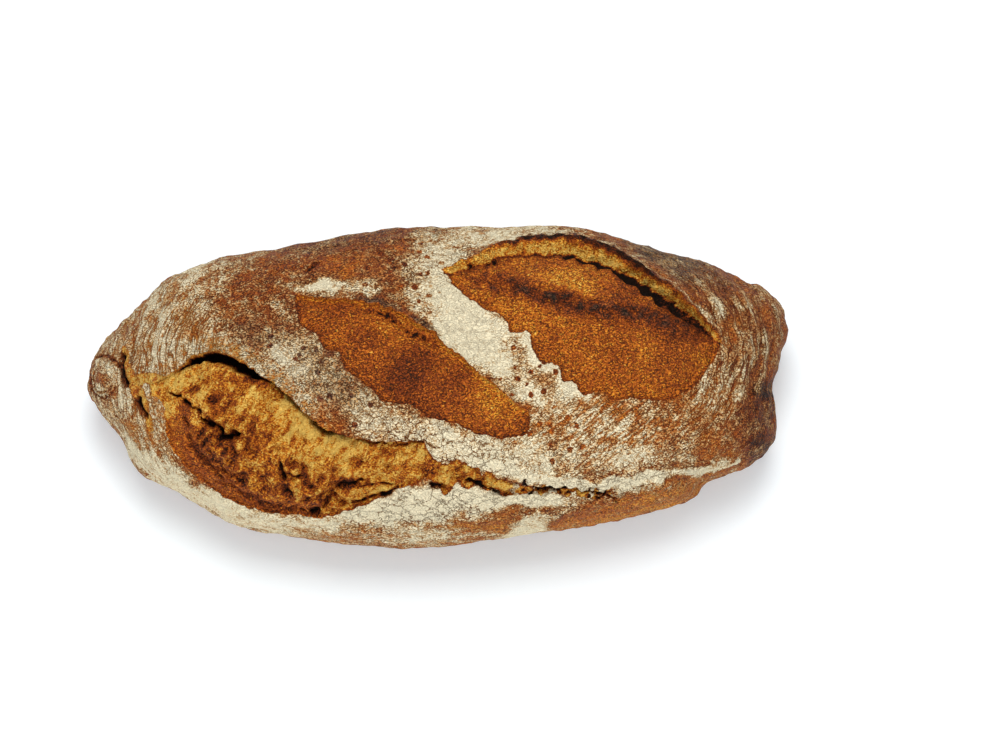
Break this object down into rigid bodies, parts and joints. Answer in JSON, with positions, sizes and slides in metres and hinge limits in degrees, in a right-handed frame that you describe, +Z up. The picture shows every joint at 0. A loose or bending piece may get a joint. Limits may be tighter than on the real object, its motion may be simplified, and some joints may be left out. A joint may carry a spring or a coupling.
{
  "type": "sourdough loaf",
  "caption": "Long oval sourdough loaf with a flat base, slanting scores, a raised ear, a torn crumb and a floured crust",
  "frame": {"origin": "centre of the bounding box, on the plane of the flat base", "axes": "+X along the loaf to its cleft right end, +Y to the back, on the side of the raised ear, +Z up out of the scored crust"},
  "size_m": [0.3, 0.1372, 0.0877],
  "materials": {
    "crust": "browned bread crust, matt, dusted with flour, with torn yellow crumb in one score"
  },
  "bodies": {
    "root": {"loaf": "crust"}
  },
  "joints": []
}
